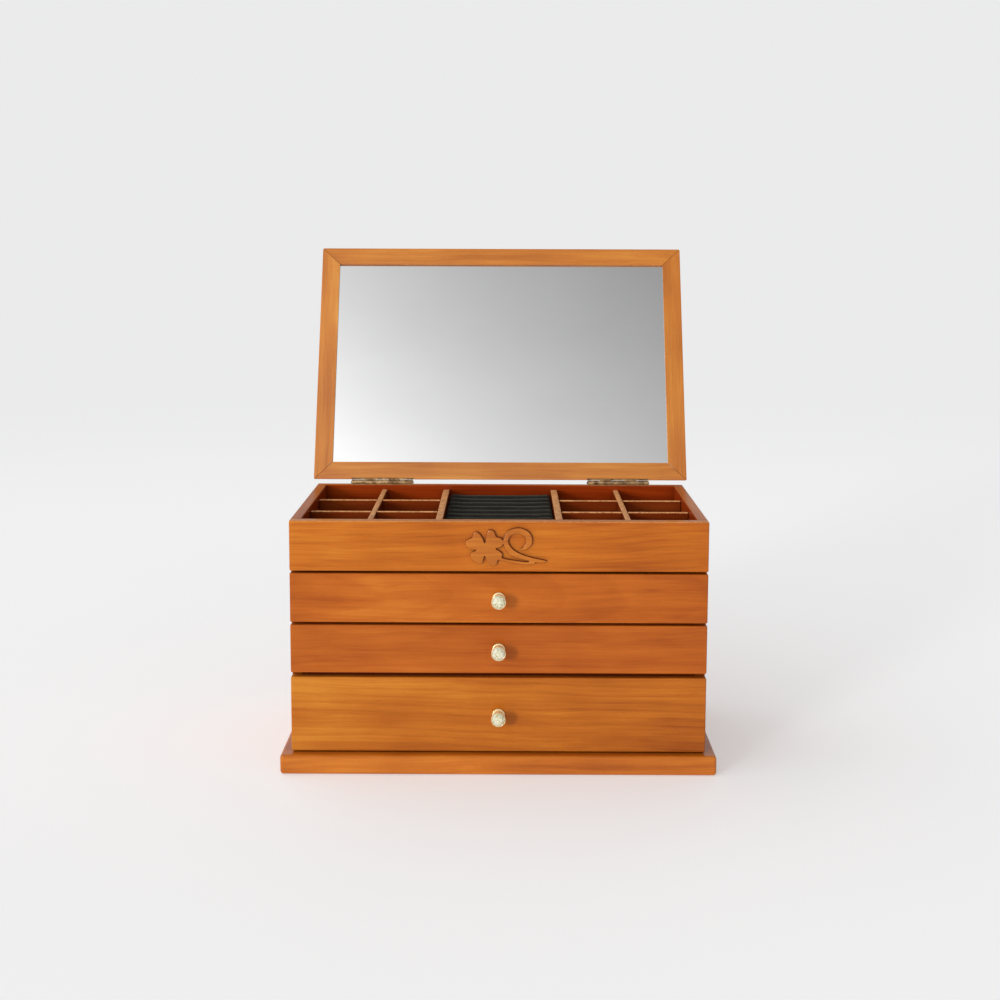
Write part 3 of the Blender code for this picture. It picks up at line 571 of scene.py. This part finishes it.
def cut_stone(work, place):
    """A brilliant cut: table, star facets, kites and girdle facets above, and a pavilion below."""
    def ring(count, turn, size):
        radius, out = size
        angles = [2 * math.pi * (i + turn) / count for i in range(count)]
        return [work.verts.new(place + Vector((radius * math.cos(a), -out, radius * math.sin(a))) * MM)
                for a in angles]

    table = ring(8, 0.0, TABLE)
    crown = ring(8, 0.5, CROWN)
    girdle = ring(16, 0.0, GIRDLE)
    belt = ring(16, 0.0, BELT)
    keel = ring(8, 0.5, KEEL)
    culet = ring(1, 0.0, CULET)[0]
    work.faces.new(table)
    for i in range(8):
        j, even = (i + 1) % 8, 2 * i
        odd, after = even + 1, (even + 2) % 16
        work.faces.new((table[i], table[j], crown[i]))
        work.faces.new((table[i], crown[i - 1], girdle[even], crown[i]))
        work.faces.new((crown[i], girdle[even], girdle[odd]))
        work.faces.new((crown[i], girdle[odd], girdle[after]))
        work.faces.new((keel[i], belt[even], belt[odd]))
        work.faces.new((keel[i], belt[odd], belt[after]))
        work.faces.new((culet, keel[i - 1], belt[even], keel[i]))
    for i in range(16):
        j = (i + 1) % 16
        work.faces.new((girdle[i], girdle[j], belt[j], belt[i]))
    bmesh.ops.recalc_face_normals(work, faces=work.faces)


def smooth_line(points, closed=False):
    """Points of a Catmull-Rom curve through these ones."""
    steps = 6
    points = [Vector(p) for p in points]
    if closed:
        knots = [points[-1], *points, points[0], points[1]]
    else:
        knots = [2 * points[0] - points[1], *points, 2 * points[-1] - points[-2]]
    line = []
    for before, start, end, after in zip(knots, knots[1:], knots[2:], knots[3:]):
        for step in range(steps):
            t = step / steps
            line.append(0.5 * (2 * start + t * (end - before)
                               + t**2 * (2 * before - 5 * start + 4 * end - after)
                               + t**3 * (3 * start - 3 * end + after - before)))
    return line if closed else [*line, points[-1]]


def ribbon(points):
    """The outline of a ribbon from its middle line and widths."""
    line = smooth_line(points)
    left, right = [], []
    for i, point in enumerate(line):
        along = (line[min(i + 1, len(line) - 1)] - line[max(i - 1, 0)]).xy.normalized()
        across = Vector((-along.y, along.x)) * point.z / 2
        left.append(point.xy + across)
        right.append(point.xy - across)
    return left + right[::-1]


def slab(work, outline, centre, front, thickness):
    """Adds an upright slab with this outline, in mm about a centre, to the bmesh."""
    curve = bpy.data.curves.new("outline", "CURVE")
    curve.dimensions = "2D"
    curve.fill_mode = "BOTH"
    curve.extrude = thickness / 2
    spline = curve.splines.new("POLY")
    spline.points.add(len(outline) - 1)
    spline.use_cyclic_u = True
    for point, (x, z) in zip(spline.points, outline):
        point.co = ((x + centre[0]) * MM, (z + centre[1]) * MM, 0, 1)
    flat = bpy.data.objects.new("outline", curve)
    bpy.context.scene.collection.objects.link(flat)
    graph = bpy.context.evaluated_depsgraph_get()
    mesh = bpy.data.meshes.new_from_object(flat.evaluated_get(graph))
    upright = Matrix.Translation((0, front - thickness / 2, 0)) @ Matrix.Rotation(math.pi / 2, 4, "X")
    mesh.transform(upright)
    work.from_mesh(mesh)
    bpy.data.objects.remove(flat)
    bpy.data.curves.remove(curve)
    bpy.data.meshes.remove(mesh)


def applied(obj):
    """Turns the object's modifiers into plain mesh."""
    graph = bpy.context.evaluated_depsgraph_get()
    mesh = bpy.data.meshes.new_from_object(obj.evaluated_get(graph))
    obj.modifiers.clear()
    old, obj.data = obj.data, mesh
    mesh.name = old.name
    bpy.data.meshes.remove(old)


def build_carving(material):
    """The clover, scroll and stem as one carved piece with softened edges."""
    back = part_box("clover_carving")[1].y
    work = bmesh.new()
    outlines = (
        (smooth_line(CLOVER, closed=True), CLOVER_CENTRE),
        (ribbon(SCROLL), SCROLL_CENTRE),
        (ribbon(STEM), SCROLL_CENTRE),
    )
    for outline, centre in outlines:
        slab(work, outline, centre, back + CARVING_SUNK, CARVING_THICK + CARVING_SUNK)
    bmesh.ops.remove_doubles(work, verts=work.verts, dist=0.00001)
    bmesh.ops.recalc_face_normals(work, faces=work.faces)
    carving = add_piece("carved_clover", work, "carcass", material, "stained_wood", "clover_carving")
    remesh = carving.modifiers.new("union", "REMESH")
    remesh.mode = "VOXEL"
    remesh.voxel_size = CARVING_VOXEL
    relax = carving.modifiers.new("soften", "SMOOTH")
    relax.factor = 0.5
    relax.iterations = CARVING_SOFTENED
    applied(carving)
    for vert in carving.data.vertices:
        vert.co.y = min(vert.co.y, back)
    carving.data.shade_smooth()


def build_lining(name, body, low, high, material, rests_on, *replaced):
    """A velvet sheet with a cut edge, lying almost flat."""
    size = high - low
    columns, rows = round(size.x / LINING_CELL), round(size.y / LINING_CELL)
    work = bmesh.new()
    layers = []
    for z, lift in ((low.z, 0.0), (high.z, LINING_WAVE)):
        layer = []
        for j in range(rows + 1):
            for i in range(columns + 1):
                x, y = low.x + size.x * i / columns, low.y + size.y * j / rows
                wave = noise.noise(Vector((x * 45, y * 45, z * 900))) - 0.6
                layer.append(work.verts.new((x, y, z + lift * wave)))
        layers.append(layer)
    across = columns + 1
    for layer, turned in zip(layers, (True, False)):
        for j in range(rows):
            for i in range(columns):
                a = j * across + i
                quad = [layer[a], layer[a + 1], layer[a + across + 1], layer[a + across]]
                work.faces.new(quad[::-1] if turned else quad)
    rim = [*range(columns), *(columns + across * j for j in range(rows)),
           *(across * rows + i for i in range(columns, 0, -1)), *(across * j for j in range(rows, 0, -1))]
    for a, b in zip(rim, rim[1:] + rim[:1]):
        work.faces.new((layers[0][a], layers[0][b], layers[1][b], layers[1][a]))
    sheet = add_piece(name, work, body, material, "black_velvet", *replaced)
    sheet.data.shade_smooth()
    sheet.data.set_sharp_from_angle(angle=SHARP)


def build_linings(material):
    low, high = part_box("tray_lining")
    build_lining("tray_velvet", "carcass", low, high, material, "tray_floor", "tray_lining")
    for drawer in DRAWERS:
        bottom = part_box(drawer + "_floor")[1].z + LINING_LIFT
        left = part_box(drawer + "_left_side")[1].x
        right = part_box(drawer + "_right_side")[0].x
        front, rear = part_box(drawer + "_front")[1].y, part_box(drawer + "_back")[0].y
        low = Vector((left + LINING_GAP, front + LINING_GAP, bottom))
        high = Vector((right - LINING_GAP, rear - LINING_GAP, bottom + LINING_THICK))
        build_lining(drawer + "_velvet", drawer, low, high, material, drawer + "_floor")


def roll_section(width, height):
    """Half round above, and nearly square below: points of (y, z) round one roll."""
    radius = width / 2
    corner = 0.22 * radius
    points = [(radius * math.cos(a), height - radius + radius * math.sin(a))
              for a in (math.pi * i / 14 for i in range(15))]
    points += [(-radius, (height - radius) * k) for k in (0.75, 0.5, 0.25)]
    points += [(-radius + corner * (1 - math.cos(a)), corner * (1 - math.sin(a)))
               for a in (math.pi / 2 * i / 3 for i in range(4))]
    mirrored = [(-y, z) for y, z in points[15:]]
    return points + mirrored[::-1]


def swollen_roll(length, width, height):
    """One roll's mesh about the origin, puffed out by cloth simulation, as vertices and faces."""
    length, width, height = length * ROLL_SCALE, width * ROLL_SCALE, height * ROLL_SCALE
    section = roll_section(width, height)
    half = length / 2
    middle = height / 2
    edge = 0.018  # how much narrower the end faces are than the roll
    stops = [(-half, 1 - edge / width), (-half + edge / 2, 1.0), (half - edge / 2, 1.0),
             (half, 1 - edge / width)]
    work = bmesh.new()
    rings = []
    for x, shrink in stops:
        rings.append([work.verts.new((x, y * shrink, middle + (z - middle) * shrink))
                      for y, z in section])
    for first, second in zip(rings, rings[1:]):
        for i in range(len(section)):
            j = (i + 1) % len(section)
            work.faces.new((first[i], first[j], second[j], second[i]))
    work.faces.new(rings[0][::-1])
    work.faces.new(rings[-1])
    bmesh.ops.recalc_face_normals(work, faces=work.faces)
    mesh = bpy.data.meshes.new("roll")
    work.to_mesh(mesh)
    work.free()
    obj = bpy.data.objects.new("roll", mesh)
    bpy.context.scene.collection.objects.link(obj)
    remesh = obj.modifiers.new("remesh", "REMESH")
    remesh.mode = "VOXEL"
    remesh.voxel_size = ROLL_VOXEL
    applied(obj)
    before = [v.co.copy() for v in obj.data.vertices]
    inflate(obj)
    most = ROLL_SWELL * ROLL_SCALE
    points = []
    for start, vert in zip(before, obj.data.vertices):
        move = vert.co - start
        if move.length > most:
            move *= most / move.length
        points.append((start + move - Vector((0, 0, middle))) / ROLL_SCALE)
    faces = [tuple(p.vertices) for p in obj.data.polygons]
    bpy.data.objects.remove(obj)
    return points, faces


def inflate(obj):
    """Runs the cloth with pressure from inside, and keeps its last frame."""
    scene = bpy.context.scene
    cloth = obj.modifiers.new("cloth", "CLOTH")
    settings = cloth.settings
    settings.quality = 6
    settings.mass = 0.3
    settings.use_pressure = True
    settings.uniform_pressure_force = 4.0
    settings.tension_stiffness = 20
    settings.bending_stiffness = 0.6
    settings.effector_weights.gravity = 0.0
    cloth.point_cache.frame_start = 1
    cloth.point_cache.frame_end = CLOTH_FRAMES
    for step in range(1, CLOTH_FRAMES + 1):
        scene.frame_set(step)
    applied(obj)
    scene.frame_set(1)


def build_cushion(material):
    """Nine velvet rolls side by side, each with its own slight unevenness."""
    low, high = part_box("ring_cushion")
    pitch = (high.y - low.y) / ROLLS
    height = high.z - low.z
    points, faces = swollen_roll(
        high.x - low.x - 2 * ROLL_SWELL, pitch - 2 * ROLL_SWELL, height - ROLL_SWELL)
    for index in range(ROLLS):
        centre = Vector(((low.x + high.x) / 2, low.y + (index + 0.5) * pitch, low.z + height / 2))
        flip = -1 if index % 2 else 1
        work = bmesh.new()
        verts = []
        for point in points:
            wave = noise.noise_vector(Vector((point.x * 70, point.y * 90, point.z * 90 + 7.3 * index)))
            uneven = Vector((0.12 * wave.x, 0.16 * wave.y, 0.20 * wave.z)) * MM
            place = centre + Vector((flip * point.x, point.y, point.z)) + uneven
            place.z = max(place.z, low.z)
            verts.append(work.verts.new(place))
        for face in faces:
            work.faces.new([verts[i] for i in (face if flip > 0 else face[::-1])])
        roll = add_piece(f"velvet_roll_{index + 1}", work, "carcass", material, "black_velvet",
                         "ring_cushion")
        roll.data.shade_smooth()


# ---------------------------------------------------------------- stage, light and camera

def build_stage():
    """A pale floor that turns into the backdrop far from the object."""
    work = bmesh.new()
    bmesh.ops.create_circle(work, cap_ends=True, segments=128, radius=FLOOR_RADIUS)
    mesh = bpy.data.meshes.new("floor")
    work.to_mesh(mesh)
    work.free()
    floor = bpy.data.objects.new("floor", mesh)
    floor.location.z = -FLOOR_BELOW
    bpy.context.scene.collection.objects.link(floor)

    material, tree, shader = new_material(
        "pale_floor", Roughness=0.75, Specular_IOR_Level=0.2, Base_Color=FLOOR_COLOR,
        Emission_Color=(1, 1, 1, 1), Emission_Strength=FLOOR_GLOW)
    place = object_place(tree)
    away = add(tree, "ShaderNodeVectorMath", {0: place}, operation="LENGTH").outputs["Value"]
    fade = add(tree, "ShaderNodeMapRange",
               {"Value": away, "From Min": FLOOR_FADE[0], "From Max": FLOOR_FADE[1]},
               interpolation_type="SMOOTHSTEP").outputs["Result"]
    glow = add(tree, "ShaderNodeEmission", {"Color": (*BACKDROP, 1)}).outputs[0]
    mixed = add(tree, "ShaderNodeMixShader", {0: fade, 1: shader.outputs[0], 2: glow}).outputs[0]
    tree.links.new(mixed, tree.nodes["Material Output"].inputs["Surface"])
    mesh.materials.append(material)


def mirrored_direction(camera_turn):
    """Where the middle of the camera's view goes after the mirror."""
    look = camera_turn @ Vector((0, 0, -1))
    normal = Matrix.Rotation(-LID_OPEN, 3, "X") @ Vector((0, 0, -1))
    return look - 2 * look.dot(normal) * normal


def build_sky(reflected):
    """What lights the object: it falls away to the right and upward, as the mirror shows it."""
    world = bpy.data.worlds.new("studio")
    bpy.context.scene.world = world
    world.use_nodes = True
    tree = world.node_tree
    tree.nodes.clear()
    way = add(tree, "ShaderNodeTexCoord").outputs["Generated"]
    x, y, z = add(tree, "ShaderNodeSeparateXYZ", {"Vector": way}).outputs
    fall = calc(tree, "MULTIPLY", calc(tree, "SUBTRACT", reflected.x, x), SKY_FALL_RIGHT)
    rise = calc(tree, "MULTIPLY", calc(tree, "SUBTRACT", reflected.z, z), SKY_FALL_UP)
    level = calc(tree, "EXPONENT", calc(tree, "ADD", fall, rise))
    level = calc(tree, "MULTIPLY", level, SKY_AT_MIRROR)
    level = calc(tree, "MAXIMUM", calc(tree, "MINIMUM", level, SKY_MOST), SKY_LEAST)
    inputs = {"Value": z, "From Min": SKY_LOW_ENDS[0], "From Max": SKY_LOW_ENDS[1], "To Min": SKY_LOW}
    low = add(tree, "ShaderNodeMapRange", inputs, interpolation_type="SMOOTHSTEP").outputs["Result"]
    level = calc(tree, "MULTIPLY", level, low)
    light = add(tree, "ShaderNodeBackground", {"Color": (1, 1, 1, 1), "Strength": level}).outputs[0]
    seen = add(tree, "ShaderNodeBackground", {"Color": (*BACKDROP, 1)}).outputs[0]
    direct = add(tree, "ShaderNodeLightPath").outputs["Is Camera Ray"]
    mixed = add(tree, "ShaderNodeMixShader", {0: direct, 1: light, 2: seen}).outputs[0]
    add(tree, "ShaderNodeOutputWorld", {"Surface": mixed})


def add_key():
    """A soft light from low in front, on the left."""
    lamp = bpy.data.lights.new("key", "SUN")
    lamp.energy = KEY_POWER
    lamp.angle = KEY_WIDTH
    obj = bpy.data.objects.new("key", lamp)
    obj.rotation_euler = (-Vector(KEY_FROM)).to_track_quat("-Z", "Y").to_euler()
    bpy.context.scene.collection.objects.link(obj)


def build_camera():
    data = bpy.data.cameras.new("camera")
    data.lens = CAMERA_LENS
    data.sensor_width = 36
    turn = (Matrix.Rotation(-CAMERA_YAW, 3, "Z")
            @ Matrix.Rotation(math.pi / 2 - CAMERA_PITCH, 3, "X")
            @ Matrix.Rotation(-CAMERA_ROLL, 3, "Z"))
    obj = bpy.data.objects.new("camera", data)
    obj.matrix_world = Matrix.Translation(CAMERA_PLACE) @ turn.to_4x4()
    bpy.context.scene.collection.objects.link(obj)
    bpy.context.scene.camera = obj
    return turn


camera_turn = build_camera()
build_stage()
build_sky(mirrored_direction(camera_turn))
add_key()
bpy.context.scene.view_settings.view_transform = "Standard"

paint_fronts()
paint_body()
paint_lid()
paint_inside()
paint_hinges()
black = velvet("black_velvet_pile")
build_linings(black)
build_cushion(black)
gold = metal("polished_gold", (1.0, 0.88, 0.58), (0.90, 0.70, 0.36), 0.24, 500.0, 0.2, 0.5)
glass, foil = crystal_glass("cut_glass"), crystal_foil("stone_foil")
for drawer_name in DRAWERS:
    build_knob(drawer_name, gold, glass, foil)
# The carving gets painted shade in its corners and on its walls facing up and to the right.
build_carving(wood("carving_wood", "X", 17.0, shade=(1.12, 1.36, 1.5), heart=(-0.04, 0.215), lean=0.05,
                   rings=8.0, figure=0.2, corner_shade=0.5, carved=True))
